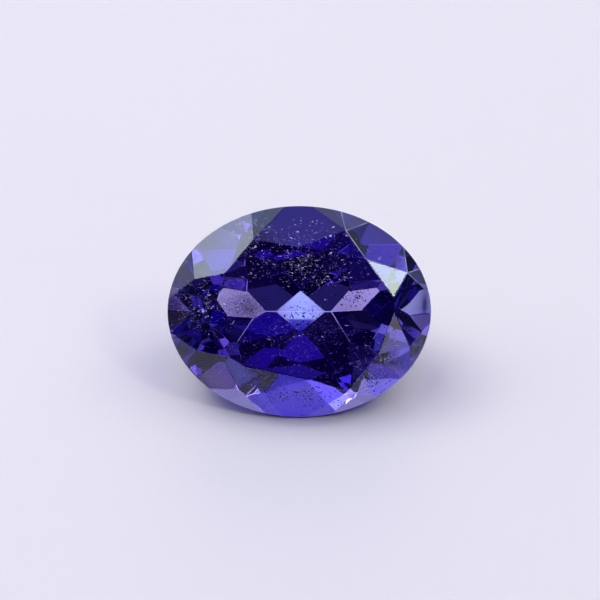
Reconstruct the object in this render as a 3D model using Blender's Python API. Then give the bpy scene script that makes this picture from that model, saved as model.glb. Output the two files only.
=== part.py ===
"""Faceted oval iolite, 10 x 8 mm, lying on the front main facet of its pavilion.

The stone is cut the way a lapidary cuts it. An oval preform is ground by one plane after
another, and each new facet is placed by its heading, its tilt and a meet point on a facet
that is already there. The drawing is made in millimetres with the table up and the girdle
at height 0; the finished stone is then tipped on to its front main and brought to metres.
"""
from math import cos, radians, sin, tan

import bmesh
import bpy
from mathutils import Matrix, Vector

# driving dimensions of the stone, millimetres
LENGTH = 10.0                # across the girdle, left to right
WIDTH = 8.0                  # across the girdle, front to back
CROWN_HEIGHT = 1.10          # girdle to table
PAVILION_DEPTH = 3.78        # girdle to keel line
GIRDLE = 0.18                # least height between the crown and pavilion facets at the rim
MAIN_RISE = 0.08             # the front and back mains are cut this much nearer the crown
PREFORM_SIDES = 120
PREFORM_SPARE = 1.0          # rough left above the table and below the keel
WELD = 0.0002                # corners closer than this are one corner

# pavilion angles, degrees from the girdle plane
CULET_TILT = 37.0
SIDE_TILT = 41.3
BACK_RHOMB_TILT = 37.5       # flatter than the critical angle, so these two let light in
FRONT_RHOMB_TILT = 41.0      # a little steeper than it, so these two look dark

# the ends of the short keel facets, and the colour of the stone
KEEL_LEFT = -0.88
KEEL_RIGHT = 0.98
STONE_COLOUR = (0.055, 0.035, 0.30, 1.0)

# corners of the table in plan, x right and y back, clockwise from the back; the table cuts
# the right and front-left kites off in a short edge, so those two have two corners
TABLE_CORNERS = (
    ((-0.01, 2.43),),
    ((2.54, 1.97),),
    ((3.59, 0.51), (3.57, -0.02)),
    ((2.98, -1.64),),
    ((0.41, -2.58),),
    ((-1.94, -2.09), (-2.57, -1.84)),
    ((-3.41, -0.47),),
    ((-2.82, 1.44),),
)

# outer tip of the star facet that follows each corner; five facets meet in each tip
STAR_TIPS = (
    (1.77, 3.06, 0.70), (4.10, 1.47, 0.65), (4.18, -1.32, 0.66), (1.84, -3.02, 0.77),
    (-1.44, -3.08, 0.70), (-3.90, -1.49, 0.73), (-3.99, 1.21, 0.70), (-1.75, 2.71, 0.85),
)

# where each kite facet meets the rim, as two angles round the oval in degrees
KITE_FEET = (
    (96, 85), (58, 37.5), (10, -6), (-33.5, -53.5),
    (-87, -97), (-124, -141), (-168.5, -187), (-215, -233),
)


class Facet:
    """A plane z = a x + b y + c in the drawing, and the side of it that is ground away."""

    def __init__(self, a, b, c, up):
        self.a, self.b, self.c = a, b, c
        self.up = up

    def height(self, x, y):
        return self.a * x + self.b * y + self.c

    def meet(self, x, y):
        """The point of the facet above a point of the plan."""
        return Vector((x, y, self.height(x, y)))

    def point(self):
        return Vector((0.0, 0.0, self.c))

    def normal(self):
        outward = Vector((-self.a, -self.b, 1.0))
        if not self.up:
            outward.negate()
        return outward.normalized()


def rim(angle, height=0.0):
    """A point of the oval outline, by the angle round it."""
    turn = radians(angle)
    return Vector((LENGTH / 2 * cos(turn), WIDTH / 2 * sin(turn), height))


def facet_by_angle(heading, tilt, meet):
    """A pavilion facet that faces a heading, at a tilt, through one meet point."""
    slope = tan(radians(tilt))
    a = slope * cos(radians(heading))
    b = slope * sin(radians(heading))
    return Facet(a, b, meet.z - a * meet.x - b * meet.y, up=False)


def facet_to_rim(angle, meet, height=-GIRDLE):
    """A pavilion facet square to the rim at an angle, from a meet point out to the rim."""
    edge = rim(angle, height)
    outward = Vector((cos(radians(angle)) / LENGTH, sin(radians(angle)) / WIDTH)).normalized()
    slope = (edge.z - meet.z) / outward.dot((edge - meet).xy)
    a = slope * outward.x
    b = slope * outward.y
    return Facet(a, b, edge.z - a * edge.x - b * edge.y, up=False)


def facet_by_meets(p, q, r):
    """A crown facet through three points."""
    normal = (q - p).cross(r - p)
    a = -normal.x / normal.z
    b = -normal.y / normal.z
    return Facet(a, b, p.z - a * p.x - b * p.y, up=True)


def crown_facets():
    """Table, eight stars, eight kites and two upper girdle facets between each pair of kites."""
    count = len(TABLE_CORNERS)
    first = [Vector((*corner[0], CROWN_HEIGHT)) for corner in TABLE_CORNERS]
    last = [Vector((*corner[-1], CROWN_HEIGHT)) for corner in TABLE_CORNERS]
    tips = [Vector(tip) for tip in STAR_TIPS]
    kites = []
    feet = []
    for i in range(count):
        middle = (first[i] + last[i]) / 2
        kites.append(facet_by_meets(middle, tips[i - 1], tips[i]))
        feet.append([kites[i].meet(*rim(angle).xy) for angle in KITE_FEET[i]])
    facets = [Facet(0.0, 0.0, CROWN_HEIGHT, up=True)] + kites
    for i in range(count):
        after = (i + 1) % count
        facets.append(facet_by_meets(last[i], first[after], tips[i]))
        start = KITE_FEET[i][1]
        end = KITE_FEET[after][0]
        if end > start:
            end -= 360
        halfway = rim((start + end) / 2)
        facets.append(facet_by_meets(tips[i], feet[i][1], halfway))
        facets.append(facet_by_meets(tips[i], halfway, feet[after][0]))
    return facets


def pavilion_facets():
    """The facets below the girdle, in cutting order; the front main comes last."""
    keel = Vector((0.0, 0.0, -PAVILION_DEPTH))
    keel_left = Vector((KEEL_LEFT, 0.0, -PAVILION_DEPTH))
    keel_right = Vector((KEEL_RIGHT, 0.0, -PAVILION_DEPTH))

    # a pair of flatter facets on the keel, seen from above as a diamond
    culet = [facet_by_angle(heading, CULET_TILT, keel) for heading in (90, 270)]

    # four long side facets that close the diamond
    back_left = facet_by_angle(96.5, SIDE_TILT, keel_left)
    back_right = facet_by_angle(83.5, SIDE_TILT, keel_right)
    front_left = facet_by_angle(263.5, SIDE_TILT, keel_left)
    front_right = facet_by_angle(276.5, SIDE_TILT, keel_right)
    sides = [back_left, back_right, front_left, front_right]

    # four rhombs beside the keel
    rhomb_back_left = facet_by_angle(156, BACK_RHOMB_TILT, back_left.meet(-1.30, 0.02))
    rhomb_back_right = facet_by_angle(30, BACK_RHOMB_TILT, back_right.meet(1.22, 0.0))
    rhomb_front_left = facet_by_angle(210, FRONT_RHOMB_TILT, front_left.meet(-1.62, -0.06))
    rhomb_front_right = facet_by_angle(325, FRONT_RHOMB_TILT, front_right.meet(1.22, 0.0))
    rhombs = [rhomb_back_left, rhomb_back_right, rhomb_front_left, rhomb_front_right]

    # the two end mains
    ends = [
        facet_to_rim(180, rhomb_front_left.meet(-2.60, -0.02)),
        facet_to_rim(0, rhomb_back_right.meet(2.34, 0.0)),
    ]

    # two breaks in each quarter, from the corners of the rhomb out to the rim
    breaks = [
        facet_to_rim(130, back_left.meet(-2.00, 0.82)),
        facet_to_rim(152, rhomb_back_left.meet(-2.95, 0.85)),
        facet_to_rim(50, back_right.meet(1.90, 0.83)),
        facet_to_rim(28, rhomb_back_right.meet(2.95, 0.93)),
        facet_to_rim(230, front_left.meet(-2.38, -0.95)),
        facet_to_rim(208, rhomb_front_left.meet(-2.90, -0.93)),
        facet_to_rim(310, front_right.meet(1.95, -0.93)),
        facet_to_rim(332, rhomb_front_right.meet(2.90, -0.93)),
    ]

    # back and front mains, each widening from the tip of the diamond, and their girdle facets
    back_main = facet_to_rim(90, back_right.meet(-0.01, 0.79), MAIN_RISE - GIRDLE)
    front_main = facet_to_rim(270, front_left.meet(-0.06, -0.78), MAIN_RISE - GIRDLE)
    fillers = [
        facet_to_rim(111, back_main.meet(-1.75, 2.5)),
        facet_to_rim(69, back_main.meet(1.70, 2.5)),
        facet_to_rim(249, front_main.meet(-1.98, -2.5)),
        facet_to_rim(291, front_main.meet(1.85, -2.6)),
    ]
    return culet + sides + rhombs + ends + breaks + [back_main] + fillers + [front_main]


def grind(bm, facet):
    """Cut one plane through the stone, drop what is outside it and close the cut face."""
    cut = bmesh.ops.bisect_plane(
        bm,
        geom=bm.verts[:] + bm.edges[:] + bm.faces[:],
        dist=WELD,
        plane_co=facet.point(),
        plane_no=facet.normal(),
        clear_outer=True,
    )
    edges = [item for item in cut["geom_cut"] if isinstance(item, bmesh.types.BMEdge)]
    open_edges = [edge for edge in edges if edge.is_boundary]
    bmesh.ops.edgeloop_fill(bm, edges=open_edges)


def facet_stone():
    """The whole stone in the drawing's frame, as a closed mesh of flat faces."""
    bm = bmesh.new()
    tall = CROWN_HEIGHT + PAVILION_DEPTH + 2 * PREFORM_SPARE
    bmesh.ops.create_cone(
        bm, cap_ends=True, segments=PREFORM_SIDES, radius1=1.0, radius2=1.0, depth=tall,
    )
    oval = Matrix.Diagonal((LENGTH / 2, WIDTH / 2, 1.0, 1.0))
    centre = Matrix.Translation((0.0, 0.0, (CROWN_HEIGHT - PAVILION_DEPTH) / 2))
    bmesh.ops.transform(bm, matrix=centre @ oval, verts=bm.verts)
    pavilion = pavilion_facets()
    for facet in crown_facets() + pavilion:
        grind(bm, facet)
    bmesh.ops.remove_doubles(bm, verts=bm.verts, dist=WELD)
    bmesh.ops.recalc_face_normals(bm, faces=bm.faces)
    return bm, pavilion[-1]


def lay_down(bm, front_main):
    """Turn the stone until the front main faces the ground, centre it and scale it to metres."""
    tip = front_main.normal().rotation_difference(Vector((0.0, 0.0, -1.0))).to_matrix().to_4x4()
    bmesh.ops.transform(bm, matrix=tip, verts=bm.verts)
    low = Vector(min(v.co[axis] for v in bm.verts) for axis in range(3))
    high = Vector(max(v.co[axis] for v in bm.verts) for axis in range(3))
    foot = Vector(((low.x + high.x) / 2, (low.y + high.y) / 2, low.z))
    to_ground = Matrix.Scale(0.001, 4) @ Matrix.Translation(-foot)
    bmesh.ops.transform(bm, matrix=to_ground, verts=bm.verts)


def iolite_material():
    material = bpy.data.materials.new("iolite")
    material.use_nodes = True
    shader = material.node_tree.nodes["Principled BSDF"]
    shader.inputs["Base Color"].default_value = STONE_COLOUR
    shader.inputs["Metallic"].default_value = 0.0
    shader.inputs["Roughness"].default_value = 0.03
    shader.inputs["IOR"].default_value = 1.545
    material.diffuse_color = STONE_COLOUR
    return material


def main():
    for old in list(bpy.data.objects):
        bpy.data.objects.remove(old, do_unlink=True)
    collection = bpy.data.collections.new("faceted_iolite")
    bpy.context.scene.collection.children.link(collection)

    bm, front_main = facet_stone()
    lay_down(bm, front_main)
    mesh = bpy.data.meshes.new("stone")
    bm.to_mesh(mesh)
    bm.free()
    mesh.materials.append(iolite_material())
    stone = bpy.data.objects.new("stone", mesh)
    collection.objects.link(stone)


main()
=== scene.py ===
from math import atan, cos, pi, radians, sin, tan

import bmesh
import bpy
import numpy as np
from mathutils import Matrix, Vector


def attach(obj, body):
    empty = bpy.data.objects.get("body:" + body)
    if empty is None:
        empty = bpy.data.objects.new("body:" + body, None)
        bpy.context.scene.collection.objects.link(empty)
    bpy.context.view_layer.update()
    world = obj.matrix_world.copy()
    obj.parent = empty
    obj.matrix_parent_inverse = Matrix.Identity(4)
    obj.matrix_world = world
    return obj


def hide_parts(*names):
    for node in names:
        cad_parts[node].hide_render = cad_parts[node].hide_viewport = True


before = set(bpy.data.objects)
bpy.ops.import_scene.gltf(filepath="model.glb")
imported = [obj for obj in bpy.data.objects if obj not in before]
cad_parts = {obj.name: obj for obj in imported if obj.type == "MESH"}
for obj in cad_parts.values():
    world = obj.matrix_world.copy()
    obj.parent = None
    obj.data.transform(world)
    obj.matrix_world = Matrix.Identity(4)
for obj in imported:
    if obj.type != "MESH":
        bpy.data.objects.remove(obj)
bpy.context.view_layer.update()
mm = 0.001

# how the stone lies: tipped about X, so that its table faces up and towards the viewer
lie = {
    "tableTilt": 43.73,                      # degrees from straight up
    "girdleCentre": (0.0, -0.036, 2.838),    # millimetres
}
tipped = radians(lie["tableTilt"])
girdleCentre = Vector(lie["girdleCentre"]) * mm
throughTable = Vector((0, -sin(tipped), cos(tipped)))
acrossTable = Vector((0, cos(tipped), sin(tipped)))    # away from the viewer


# small helpers

def linear(hexColour):
    # sRGB hex to linear light: value / 12.92 near black, else ((value + 0.055) / 1.055) to the 2.4
    value = np.array([int(hexColour[i:i + 2], 16) for i in (1, 3, 5)]) / 255
    low = value / 12.92
    high = ((value + 0.055) / 1.055) ** 2.4
    return (*np.where(value <= 0.04045, low, high).tolist(), 1.0)


def addNode(tree, kind, links=None, values=None, **settings):
    # one node: settings are its own properties, values go on its sockets, and links bring another
    # node's output, given as (node, output), into them
    node = tree.nodes.new(kind)
    for name, value in settings.items():
        setattr(node, name, value)
    for name, value in (values or {}).items():
        node.inputs[name].default_value = value
    for name, (source, output) in (links or {}).items():
        tree.links.new(source.outputs[output], node.inputs[name])
    return node


def newMaterial(name):
    # a material with an empty node tree
    material = bpy.data.materials.new(name)
    material.use_nodes = True
    material.node_tree.nodes.clear()
    return material, material.node_tree


def dullMaterial(name, settings):
    # one even colour with a broad, weak gloss
    material, tree = newMaterial(name)
    shader = addNode(tree, "ShaderNodeBsdfPrincipled", values={
        "Base Color": linear(settings["colour"]), "Roughness": settings["roughness"],
        "Specular IOR Level": settings["gloss"]})
    addNode(tree, "ShaderNodeOutputMaterial", {"Surface": (shader, "BSDF")})
    return material


def toWorld(points):
    # a turn about X by the table's tilt, then a shift to the girdle centre, millimetres to metres
    x, y, z = points[..., 0], points[..., 1], points[..., 2]
    turned = np.stack([x, y * cos(tipped) - z * sin(tipped), y * sin(tipped) + z * cos(tipped)], -1)
    return (turned + np.array(lie["girdleCentre"])) * mm


def meshPiece(name, points, faces, material):
    # one object at the origin from its corner points, in metres, and its faces
    mesh = bpy.data.meshes.new(name)
    mesh.from_pydata(points, [], faces)
    mesh.materials.append(material)
    mesh.update()
    piece = bpy.data.objects.new(name, mesh)
    bpy.context.scene.collection.objects.link(piece)
    return piece


# polished iolite: clear, violet-blue, paler where it is thin

polish = {
    "ior": 1.545,
    "roughness": 0.0,
    "absorbPerMm": (0.20, 0.25, 0.052),    # red, green and blue taken out by each millimetre
    "domeSize": 2.0,                       # millimetres, the slow swell that hand polishing leaves
    "domeHeight": 0.014,                   # millimetres
    "domeDetail": 0.0,                     # no ripples on the swell
    "lampPass": (0.29, 0.235, 0.75),       # red, green and blue of a lamp let through each surface
}


def absorption(tree):
    # volume absorption takes density * (1 - colour) from each metre
    perMetre = np.array(polish["absorbPerMm"]) / mm
    density = float(perMetre.max())
    colour = 1 - perMetre / density
    return addNode(tree, "ShaderNodeVolumeAbsorption",
                   values={"Color": (*colour.tolist(), 1.0), "Density": density})


def letLampsThrough(tree, shader):
    # lamps reach the paper and the inclusions through the glass, tinted by the stone
    ray = addNode(tree, "ShaderNodeLightPath")
    clear = addNode(tree, "ShaderNodeBsdfTransparent", values={
        "Color": (*polish["lampPass"], 1.0)})
    mixed = addNode(tree, "ShaderNodeMixShader", {
        0: (ray, "Is Shadow Ray"), 1: (shader, "BSDF"), 2: (clear, "BSDF")})
    addNode(tree, "ShaderNodeOutputMaterial",
            {"Surface": (mixed, "Shader"), "Volume": (absorption(tree), "Volume")})


def polishedIolite():
    # diamond-polished gem crystal: sharp mirror gloss over clear violet depth, each facet's
    # picture a little bent by the swell
    material, tree = newMaterial("polishedIolite")
    place = addNode(tree, "ShaderNodeTexCoord")
    dome = addNode(tree, "ShaderNodeTexNoise", {"Vector": (place, "Object")},
                   {"Scale": 1 / (polish["domeSize"] * mm), "Detail": polish["domeDetail"]})
    domed = addNode(tree, "ShaderNodeBump", {"Height": (dome, "Fac")},
                    {"Distance": polish["domeHeight"] * mm})
    shader = addNode(tree, "ShaderNodeBsdfPrincipled", {"Normal": (domed, "Normal")},
                     {"Base Color": (1, 1, 1, 1), "Roughness": polish["roughness"],
                      "IOR": polish["ior"], "Transmission Weight": 1.0})
    letLampsThrough(tree, shader)
    return material


wear = {
    "patch": 0.9,              # millimetres, how far the wear stays alike along an edge
    "detail": 2.0,
    # the noise where the edge is least and most worn, and its colour there
    "tones": ((0.48, "#a8a4e0"), (0.62, "#fcfcff")),
    "roughness": 0.25,
    "clear": 0.55,             # share of the light that still goes through
}


def wornJunction():
    # the edges between facets wear first: a fine frosted line, paler where it has worn more
    material, tree = newMaterial("wornJunction")
    place = addNode(tree, "ShaderNodeTexCoord")
    noise = addNode(tree, "ShaderNodeTexNoise", {"Vector": (place, "Object")},
                    {"Scale": 1 / (wear["patch"] * mm), "Detail": wear["detail"]})
    tone = addNode(tree, "ShaderNodeValToRGB", {0: (noise, "Fac")})
    for stop, (position, colour) in zip(tone.color_ramp.elements, wear["tones"]):
        stop.position = position
        stop.color = linear(colour)
    shader = addNode(tree, "ShaderNodeBsdfPrincipled", {"Base Color": (tone, "Color")},
                     {"Roughness": wear["roughness"], "IOR": polish["ior"],
                      "Transmission Weight": wear["clear"]})
    letLampsThrough(tree, shader)
    return material


grinding = {
    # millimetres; the real grit leaves about 0.02, which is too fine to show, so it is drawn coarser
    "scratch": 0.05,
    "depth": 0.004,            # millimetres
    "detail": 3.0,
    "colour": "#e6e6f0",
    "roughness": 0.38,
    "clear": 0.9,              # share of the light that still goes through
}


def groundGirdle():
    # the rim is ground and not polished: frosted, so it looks pale grey
    material, tree = newMaterial("groundGirdle")
    place = addNode(tree, "ShaderNodeTexCoord")
    grain = addNode(tree, "ShaderNodeTexNoise", {"Vector": (place, "Object")},
                    {"Scale": 1 / (grinding["scratch"] * mm), "Detail": grinding["detail"]})
    rough = addNode(tree, "ShaderNodeBump", {"Height": (grain, "Fac")},
                    {"Distance": grinding["depth"] * mm})
    shader = addNode(tree, "ShaderNodeBsdfPrincipled", {"Normal": (rough, "Normal")},
                     {"Base Color": linear(grinding["colour"]), "IOR": polish["ior"],
                      "Roughness": grinding["roughness"], "Transmission Weight": grinding["clear"]})
    letLampsThrough(tree, shader)
    return material


# the stone

finishes = {"polished": polishedIolite, "ground": groundGirdle, "worn": wornJunction}
slots = {finish: number for number, finish in enumerate(finishes)}
junctions = {
    "chamfer": 0.035,          # millimetres, the narrow flat that polishing leaves along a junction
    "girdleSteep": 0.35,       # a facet whose normal is this near the girdle plane is girdle
    "sameFacet": 0.8,          # degrees, triangles this close in direction are one facet
    "leastFacet": 0.05,        # square millimetres, a smaller one is a sliver and gets no chamfer
    "oneCorner": 0.001,        # millimetres, corners closer than this are one corner
    "onCut": 0.00001,          # millimetres, a corner this near a cut lies on it
    "wornAngle": 37,           # degrees from +X, the way to the worn side of the crown
    "wornPast": 3.15,          # millimetres that way from the middle, where the wear begins
}


def stoneFacets(node):
    # the solid's triangles, merged and joined into whole facets where they lie within the limit
    bm = bmesh.new()
    bm.from_mesh(node.data)
    bmesh.ops.remove_doubles(bm, verts=bm.verts, dist=junctions["oneCorner"] * mm)
    bmesh.ops.dissolve_limit(bm, angle_limit=radians(junctions["sameFacet"]), verts=bm.verts,
                             edges=bm.edges)
    return bm


def onWornSide(point):
    # how far the point lies from the middle, seen through the table: x cos(angle) + y sin(angle)
    angle = radians(junctions["wornAngle"])
    fromMiddle = point - girdleCentre
    along = fromMiddle.x * cos(angle) + fromMiddle.dot(acrossTable) * sin(angle)
    return along > junctions["wornPast"] * mm


def chamferPlanes(bm):
    # along each junction, a plane whose normal is the mean of its two facets', set in from the
    # junction by half the chamfer's width times the tangent of half the angle between them
    planes = []
    for edge in bm.edges:
        first, second = (face.normal for face in edge.link_faces)
        rises = first.dot(throughTable), second.dot(throughTable)
        steep = max(abs(rise) for rise in rises) < junctions["girdleSteep"]
        least = min(face.calc_area() for face in edge.link_faces)
        if steep or least < junctions["leastFacet"] * mm ** 2:
            continue
        normal = (first + second).normalized()
        inset = junctions["chamfer"] * mm / 2 * tan(first.angle(second) / 2)
        middle = (edge.verts[0].co + edge.verts[1].co) / 2
        finish = "worn" if min(rises) > 0 and onWornSide(middle) else "polished"
        planes.append((middle - normal * inset, normal, slots[finish]))
    return planes


def makeStone(node):
    # every chamfer is one plane through the whole stone, which is convex: what is outside goes,
    # and the cut is closed with a face
    bm = stoneFacets(node)
    for point, normal, slot in chamferPlanes(bm):
        cut = bmesh.ops.bisect_plane(bm, geom=bm.verts[:] + bm.edges[:] + bm.faces[:],
                                     dist=junctions["onCut"] * mm, plane_co=point,
                                     plane_no=normal, clear_outer=True)
        rim = [item for item in cut["geom_cut"] if isinstance(item, bmesh.types.BMEdge)]
        filled = bmesh.ops.edgeloop_fill(bm, edges=[edge for edge in rim if edge.is_boundary])
        for face in filled["faces"]:
            face.material_index = slot
    bmesh.ops.recalc_face_normals(bm, faces=bm.faces)
    for face in bm.faces:
        if abs(face.normal.dot(throughTable)) < junctions["girdleSteep"]:
            face.material_index = slots["ground"]
    mesh = bpy.data.meshes.new("cutStone")
    bm.to_mesh(mesh)
    bm.free()
    for makeFinish in finishes.values():
        mesh.materials.append(makeFinish())
    piece = bpy.data.objects.new("cutStone", mesh)
    bpy.context.scene.collection.objects.link(piece)
    return piece


stone = makeStone(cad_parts["stone"])
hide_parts("stone")
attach(stone, "root")
print("stone:", len(stone.data.polygons), "facets")


# inclusions: pale flakes and needles that catch light and carry a painted glow, dark specks, and a
# cloud of brown-mauve grains

grainForm = {
    "sides": 6,                # corners round a grain
    "ragged": (0.6, 1.0),      # how far out each corner lies, as a share of the grain's size
}
# lengths in millimetres. Each cloud: centre, spread and count, in the drawing of the stone: x
# along its length, y across it, z up through the table, 0 at the girdle
flakes = {
    "seed": 7,
    "length": (0.02, 0.23),
    "width": (0.013, 0.042),
    "thick": 0.012,
    "lean": 3.0,               # how strongly their long axes lean towards the stone's length
    "steep": 6,                # how few of the grains are large
    "clump": (7, 0.12),        # grains in a clump and how far they stray
    "margin": 0.1,             # least distance from a face
    "clouds": {
        "underTableTop": ((0.4, 1.95, 0.5), (1.4, 0.55, 0.3), 1350),
        "comet": ((0.95, 1.45, 0.7), (0.7, 0.35, 0.15), 170),
        "backCrown": ((0.0, 2.9, 0.2), (1.0, 0.35, 0.12), 220),
        "leftEnd": ((-3.6, 0.3, 0.2), (0.7, 0.55, 0.3), 800),
        "underTableLow": ((-1.0, -0.8, 0.3), (0.9, 0.5, 0.4), 100),
        "rightEnd": ((2.7, -1.2, 0.2), (0.7, 0.5, 0.4), 180),
        "leftCrown": ((-2.15, 3.0, 0.12), (0.4, 0.3, 0.12), 380),
    },
    "patch": 0.16,             # grains this close together get alike colour and painted glow
    "detail": 1.0,
    # the noise where a grain is dullest and brightest, and its colour there, which is both its own
    # colour and the colour of its painted glow
    "tones": ((0.50, "#5c5490"), (0.67, "#fbfaff")),
    "roughness": 0.3,
    "metallic": 0.5,
    "paintedGlow": 0.62,             # painted glow: emission that lights each grain from inside whatever way it faces, standing in for lamp light that can't reach it through the glass
}
specks = {
    "length": (0.04, 0.15),
    "width": (0.03, 0.08),
    "thick": 0.015,
    "lean": 1.0,
    "steep": 2,
    "clump": (3, 0.10),
    "margin": 0.05,
    "clouds": {
        "middle": ((0.15, -0.15, 0.4), (0.38, 0.26, 0.3), 210),
        "rightOfMiddle": ((2.15, 0.5, 0.3), (0.42, 0.2, 0.3), 190),
        "lowCrown": ((0.4, -3.1, 0.15), (0.9, 0.35, 0.2), 420),
        "lowRight": ((2.9, -2.4, 0.15), (0.7, 0.4, 0.2), 420),
    },
    "colour": "#2a1a40",
    "roughness": 0.4,
    "gloss": 0.5,
}
veil = {
    "length": (0.018, 0.05),
    "width": (0.014, 0.035),
    "thick": 0.01,
    "lean": 1.0,
    "steep": 2,
    "clump": (4, 0.12),
    "margin": 0.05,
    "clouds": {"backLeft": ((-2.1, 0.2, -1.5), (0.5, 0.28, 0.3), 5600)},
    "colour": "#563c4e",
    "roughness": 0.5,
    "gloss": 0.5,
}


def insideStone(points, margin):
    # a point is inside when it lies behind the plane of every face by more than the margin
    normals = np.array([face.normal for face in stone.data.polygons])
    centres = np.array([face.center for face in stone.data.polygons])
    reach = (normals * centres).sum(1)
    return ((points @ normals.T) < reach - margin * mm).all(1)


def cloudPoints(rng, settings):
    # clumps spread normally about each cloud's centre and grains normally about each clump's, kept
    # where they are inside the stone
    each, stray = settings["clump"]
    points = []
    for centre, spread, count in settings["clouds"].values():
        clumps = rng.normal(size=(count // each, 1, 3)) * spread + centre
        grains = rng.normal(size=(count // each, each, 3)) * stray
        points.append((clumps + grains).reshape(-1, 3))
    points = np.concatenate(points)
    return points[insideStone(toWorld(points), settings["margin"])]


def grainCloud(name, rng, centres, lengths, widths, settings, material):
    # each grain is a flat lens: a ring of corners at length * cos, width * sin round its centre,
    # with one point above it and one below, the whole turned by a random rotation whose long axis
    # leans towards X
    sides, count = grainForm["sides"], len(centres)
    turn = np.linspace(0, 2 * pi, sides, endpoint=False)
    ragged = rng.uniform(*grainForm["ragged"], (count, sides))
    ring = np.stack([ragged * np.cos(turn) * lengths[:, None] / 2,
                     ragged * np.sin(turn) * widths[:, None] / 2, np.zeros((count, sides))], -1)
    poles = np.zeros((count, 2, 3))
    poles[:, 0, 2] = settings["thick"] / 2
    poles[:, 1, 2] = -settings["thick"] / 2
    corners = np.concatenate([ring, poles], 1)
    axes = rng.normal(size=(count, 3, 3))
    axes[:, 0, 0] *= settings["lean"]
    basis, _ = np.linalg.qr(axes)
    basis *= np.sign(np.linalg.det(basis))[:, None, None]
    points = toWorld(centres[:, None, :] + corners @ basis.transpose(0, 2, 1))
    around = np.arange(sides)
    after = (around + 1) % sides
    above = np.stack([around, after, np.full(sides, sides)], -1)
    below = np.stack([after, around, np.full(sides, sides + 1)], -1)
    oneGrain = np.concatenate([above, below])
    faces = oneGrain[None] + (np.arange(count) * (sides + 2))[:, None, None]
    return meshPiece(name, points.reshape(-1, 3), faces.reshape(-1, 3).tolist(), material)


def flakeWithPaintedGlow():
    # healed fractures and fine tubes, pale and shiny, some of them far brighter than others, with a
    # painted glow: they give out light in their own colour, standing in for light that reaches them
    # through the stone
    material, tree = newMaterial("flakeWithPaintedGlow")
    place = addNode(tree, "ShaderNodeTexCoord")
    noise = addNode(tree, "ShaderNodeTexNoise", {"Vector": (place, "Object")},
                    {"Scale": 1 / (flakes["patch"] * mm), "Detail": flakes["detail"]})
    tone = addNode(tree, "ShaderNodeValToRGB", {0: (noise, "Fac")})
    for stop, (position, colour) in zip(tone.color_ramp.elements, flakes["tones"]):
        stop.position = position
        stop.color = linear(colour)
    # the emission is painted glow: light the grain gives out itself, in its own colour
    shader = addNode(tree, "ShaderNodeBsdfPrincipled",
                     {"Base Color": (tone, "Color"), "Emission Color": (tone, "Color")},
                     {"Roughness": flakes["roughness"], "Metallic": flakes["metallic"],
                      "Emission Strength": flakes["paintedGlow"]})
    addNode(tree, "ShaderNodeOutputMaterial", {"Surface": (shader, "BSDF")})
    return material


def ironOxideSpeck():
    # tiny opaque plates of iron oxide, seen as dark dots against a bright facet
    return dullMaterial("ironOxideSpeck", specks)


def mauveGrainCloud():
    # a dense cloud of small brown-mauve grains at the back left, which darkens and browns what is
    # seen through the upper left of the stone
    return dullMaterial("mauveGrainCloud", veil)


def makeGrains(name, rng, settings, material):
    # most grains are small and a few are large: an even random share to a steep power goes from
    # the least length and width to the greatest
    centres = cloudPoints(rng, settings)
    share = rng.uniform(size=len(centres)) ** settings["steep"]
    lengths, widths = (low + (high - low) * share
                       for low, high in (settings["length"], settings["width"]))
    grains = grainCloud(name, rng, centres, lengths, widths, settings, material)
    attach(grains, "root")
    print(name + ":", len(centres), "grains")


rng = np.random.default_rng(flakes["seed"])
makeGrains("paleFlakes", rng, flakes, flakeWithPaintedGlow())
makeGrains("darkSpecks", rng, specks, ironOxideSpeck())
makeGrains("mauveVeil", rng, veil, mauveGrainCloud())


# paper, lights and camera

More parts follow.
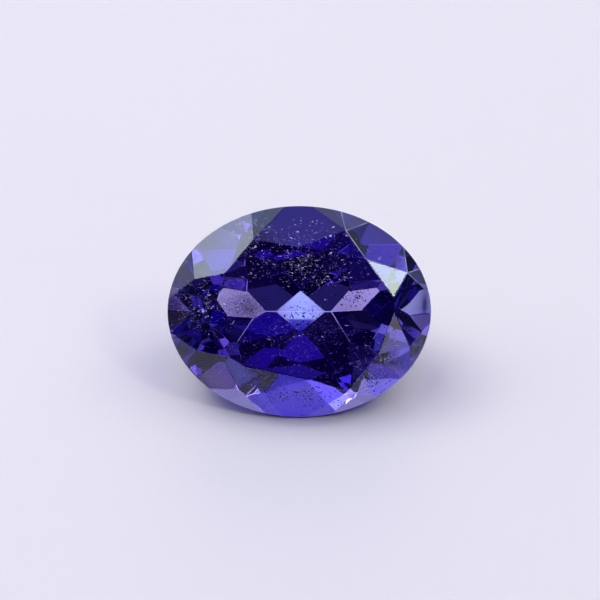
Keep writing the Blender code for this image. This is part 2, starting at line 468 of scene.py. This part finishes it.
paper = {
    "half": 0.07,              # metres from the middle of the sheet to an edge
    "below": 0.01,             # millimetres, so that the stone's lowest facet is clear of it
    "colour": "#fff2f5",
    "roughness": 0.7,
    "gloss": 0.2,
}
studio = {
    "distance": 0.30,          # metres from the stone to each soft light
    # azimuth (0 is behind the stone, 90 to the right), elevation, width and height in degrees,
    # radiance and colour
    "softboxes": {
        "left": (-60, 47, 17, 17, 4.7, "#e8f3ff"),
        "leftBack": (-38, 45, 17, 14, 3.7, "#ecf5ff"),
        "right": (101, 50, 9.5, 8, 10.5, "#ecffee"),
    },
    "wattsPerRadiance": 4,     # for each square metre of a soft light
    # a narrow lamp for the bright spot that the stone focuses on the paper at its foot: where it
    # falls and its radius there in millimetres, azimuth, elevation, watts and colour
    "focus": ((0.1, 2.7), 1.1, 5, 50, 0.235, "#9ceeff"),
    "focusDistance": 0.06,     # metres
    "focusBulb": 0.0005,       # metres, the radius of its bulb
    # the tent round the table: pale low down at the back, violet overhead, dark over the camera
    "tentLow": ("#dcf0e0", 0.90),
    "tentHigh": ("#7c6cf3", 0.95),
    "tentFront": ("#8a50ff", 0.03),
    "tentLean": 0.55,          # how far the back reaches over the stone
    "tentEdge": (0.03, 0.22),  # how far back the dark front ends and the pale back is whole
    "tentRise": (0.45, 0.95),  # how high the back starts to turn violet and is all violet
    # patches of the tent: azimuth, elevation, inner and outer radius in degrees, colour, radiance
    "patches": {
        "paleStripRight": (66, 42, 11, 14.2, "#ecffe8", 3.6),
        "backGlow": (20, 37, 6, 12, "#e0e4ff", 1.6),
        "leftLow": (-72, 16, 10, 18, "#e8ecff", 1.65),
        "gapLeft": (-127, 3, 6, 10, "#c8ecff", 0.6),
        "warmGapLeft": (-114, 0, 6, 9.5, "#d4fcc4", 2.2),
        "paleGapLeft": (-141, 6, 5, 8, "#f4fff4", 1.0),
        "darkCardRight": (84, 12, 16, 24, "#7080a0", 0.22),
        "darkLowRight": (50, 4, 6, 12, "#8080a0", 0.40),
        "darkCardLeft": (-102, 10, 5, 10, "#8088a0", 0.15),
        "warmRight": (75, 30, 5, 9, "#ffeab0", 0.32),
        "paleGapRight": (131, 16, 4, 8.5, "#fff8e8", 1.9),
        "windowBack": (0, 20, 12, 18, "#fff8f4", 2.6),
        "overheadLeft": (-42, 66, 8, 12, "#f8fff4", 3.0),
        "overheadRight": (50, 66, 8, 12, "#f8fff4", 3.0),
        "paleSpotBack": (-7, 65, 3.3, 5.5, "#948cff", 2.1),
        "zenith": (22, 82, 8, 13, "#4c30ff", 1.05),
        "highLeft": (-78, 64, 9, 15, "#e0f4ff", 1.9),
        "highRight": (80, 66, 9, 15, "#fff4f8", 1.5),
        "backLeft": (-20, 53, 4, 6.5, "#dcf4ff", 2.0),
        "overCamera": (180, 56, 3.5, 6.5, "#7a3cff", 0.42),
        "rightOfCamera": (166, 37, 3, 6, "#7a3cff", 0.42),
        "leftOfCamera": (-162, 35, 3, 6, "#8c80ff", 1.5),
        "underCamera": (180, 31, 4, 8, "#8a6cff", 0.36),
        "frontRight": (132, 66, 6, 13, "#5a2cff", 0.36),
        "lowFrontRight": (162, 18, 5, 9, "#c0d0ff", 0.20),
        "lowFrontLeft": (-162, 18, 5, 9, "#c8d8ff", 0.18),
        "leftSide": (-110, 33, 9, 15, "#6a58e0", 0.12),
        "paleSideLeft": (-82, 33, 5, 9, "#ecffe8", 1.8),
        "blueSideLeft": (-70, 28, 3, 6, "#c0ceff", 1.15),
        "besideCamera": (139, 44, 4, 8, "#c8f0ff", 0.4),
        "darkGapRight": (105, 0, 7, 12, "#6050a0", 0.10),
        "darkGapLeft": (-99, -2, 5, 10, "#6050a0", 0.10),
    },
}
view = {
    "azimuth": 180,            # degrees, straight in front
    "elevation": 46.27,        # degrees
    "distance": 0.30,          # metres
    "frameWidth": 22.77,       # millimetres across the picture at the stone
    "aim": (0.028, 0.279, 3.139),    # millimetres
    "sensor": 36,              # millimetres
    "nearest": 0.01,           # metres, anything nearer the camera isn't drawn
}
lightPaths = {
    "throughGlass": 32,        # bounces inside the stone
    "offPaper": 4,             # bounces between matt things
}


def makePaper():
    # matt paper: even and pale, with hardly any gloss
    corners = np.array([(-1, -1, 0), (1, -1, 0), (1, 1, 0), (-1, 1, 0)]) * paper["half"]
    corners[:, 2] = -paper["below"] * mm
    floor = meshPiece("floor", corners, [(0, 1, 2, 3)], dullMaterial("paleStudioPaper", paper))


def direction(azimuth, elevation):
    # sin(azimuth) cos(elevation) to the right, cos(azimuth) cos(elevation) to the back and
    # sin(elevation) up
    a, e = radians(azimuth), radians(elevation)
    return Vector((sin(a) * cos(e), cos(a) * cos(e), sin(e)))


def hang(name, data, target, azimuth, elevation, distance):
    # a lamp or camera at that distance from its target, looking at it along its own -Z
    away = direction(azimuth, elevation)
    item = bpy.data.objects.new(name, data)
    item.location = target + away * distance
    item.rotation_euler = away.to_track_quat("Z", "Y").to_euler()
    bpy.context.scene.collection.objects.link(item)
    return item


def makeSoftboxes():
    # a side is 2 * distance * tan(angle / 2) long
    distance = studio["distance"]
    for name, box in studio["softboxes"].items():
        azimuth, elevation, wide, high, radiance, colour = box
        lamp = bpy.data.lights.new(name, "AREA")
        lamp.shape = "RECTANGLE"
        lamp.size = 2 * distance * tan(radians(wide / 2))
        lamp.size_y = 2 * distance * tan(radians(high / 2))
        lamp.color = linear(colour)[:3]
        lamp.energy = radiance * lamp.size * lamp.size_y * studio["wattsPerRadiance"]
        light = hang(name, lamp, girdleCentre, azimuth, elevation, distance)
        light.visible_camera = False


def makeFocus():
    # the cone is 2 * atan(radius / distance) wide
    (x, y), radius, azimuth, elevation, watts, colour = studio["focus"]
    distance = studio["focusDistance"]
    lamp = bpy.data.lights.new("focus", "SPOT")
    lamp.spot_size = 2 * atan(radius * mm / distance)
    lamp.spot_blend = 1.0
    lamp.shadow_soft_size = studio["focusBulb"]
    lamp.energy = watts
    lamp.color = linear(colour)[:3]
    light = hang("focus", lamp, Vector((x, y, 0)) * mm, azimuth, elevation, distance)
    light.visible_camera = False


def glow(colour, radiance):
    # linear colour * radiance
    return (*(np.array(linear(colour)[:3]) * radiance).tolist(), 1.0)


def makeTent():
    # how far back a direction lies is y + lean (1 - z): smooth from the dark front to the pale
    # back. Each patch is mixed over what is there by the cosine of the angle to its middle
    world = bpy.data.worlds.new("tent")
    world.use_nodes = True
    tree = world.node_tree
    background = tree.nodes["Background"]
    place = addNode(tree, "ShaderNodeTexCoord")
    split = addNode(tree, "ShaderNodeSeparateXYZ", {0: (place, "Generated")})
    lean = studio["tentLean"]
    low = addNode(tree, "ShaderNodeMath", {0: (split, "Z")}, {1: -lean, 2: lean},
                  operation="MULTIPLY_ADD")
    far = addNode(tree, "ShaderNodeMath", {0: (split, "Y"), 1: (low, 0)}, operation="ADD")
    share = addNode(tree, "ShaderNodeMapRange", {"Value": (far, 0)},
                    {"From Min": studio["tentEdge"][0], "From Max": studio["tentEdge"][1]},
                    interpolation_type="SMOOTHSTEP")
    rise = addNode(tree, "ShaderNodeMapRange", {"Value": (split, "Z")},
                   {"From Min": studio["tentRise"][0], "From Max": studio["tentRise"][1]},
                   interpolation_type="SMOOTHSTEP")
    back = addNode(tree, "ShaderNodeMix", {0: (rise, 0)},
                   {6: glow(*studio["tentLow"]), 7: glow(*studio["tentHigh"])}, data_type="RGBA")
    shade = addNode(tree, "ShaderNodeMix", {0: (share, 0), 7: (back, 2)},
                    {6: glow(*studio["tentFront"])}, data_type="RGBA")
    for azimuth, elevation, inner, outer, colour, radiance in studio["patches"].values():
        near = addNode(tree, "ShaderNodeVectorMath", {0: (place, "Generated")},
                       {1: direction(azimuth, elevation)}, operation="DOT_PRODUCT")
        inside = addNode(tree, "ShaderNodeMapRange", {"Value": (near, "Value")},
                         {"From Min": cos(radians(outer)), "From Max": cos(radians(inner))},
                         interpolation_type="SMOOTHSTEP")
        shade = addNode(tree, "ShaderNodeMix", {0: (inside, 0), 6: (shade, 2)},
                        {7: glow(colour, radiance)}, data_type="RGBA")
    tree.links.new(shade.outputs[2], background.inputs["Color"])
    bpy.context.scene.world = world


def makeCamera():
    # the lens is the sensor's width * distance / the width of the frame
    camera = bpy.data.cameras.new("camera")
    camera.sensor_width = view["sensor"]
    camera.lens = view["sensor"] * view["distance"] / (view["frameWidth"] * mm)
    camera.clip_start = view["nearest"]
    eye = hang("camera", camera, Vector(view["aim"]) * mm, view["azimuth"], view["elevation"],
               view["distance"])
    bpy.context.scene.camera = eye


makePaper()
makeSoftboxes()
makeFocus()
makeTent()
makeCamera()

scene = bpy.context.scene
scene.cycles.max_bounces = lightPaths["throughGlass"]
scene.cycles.transmission_bounces = lightPaths["throughGlass"]
scene.cycles.glossy_bounces = lightPaths["throughGlass"]
scene.cycles.diffuse_bounces = lightPaths["offPaper"]
scene.cycles.caustics_refractive = False
scene.cycles.caustics_reflective = False
scene.view_settings.view_transform = "Standard"
print("studio: done")
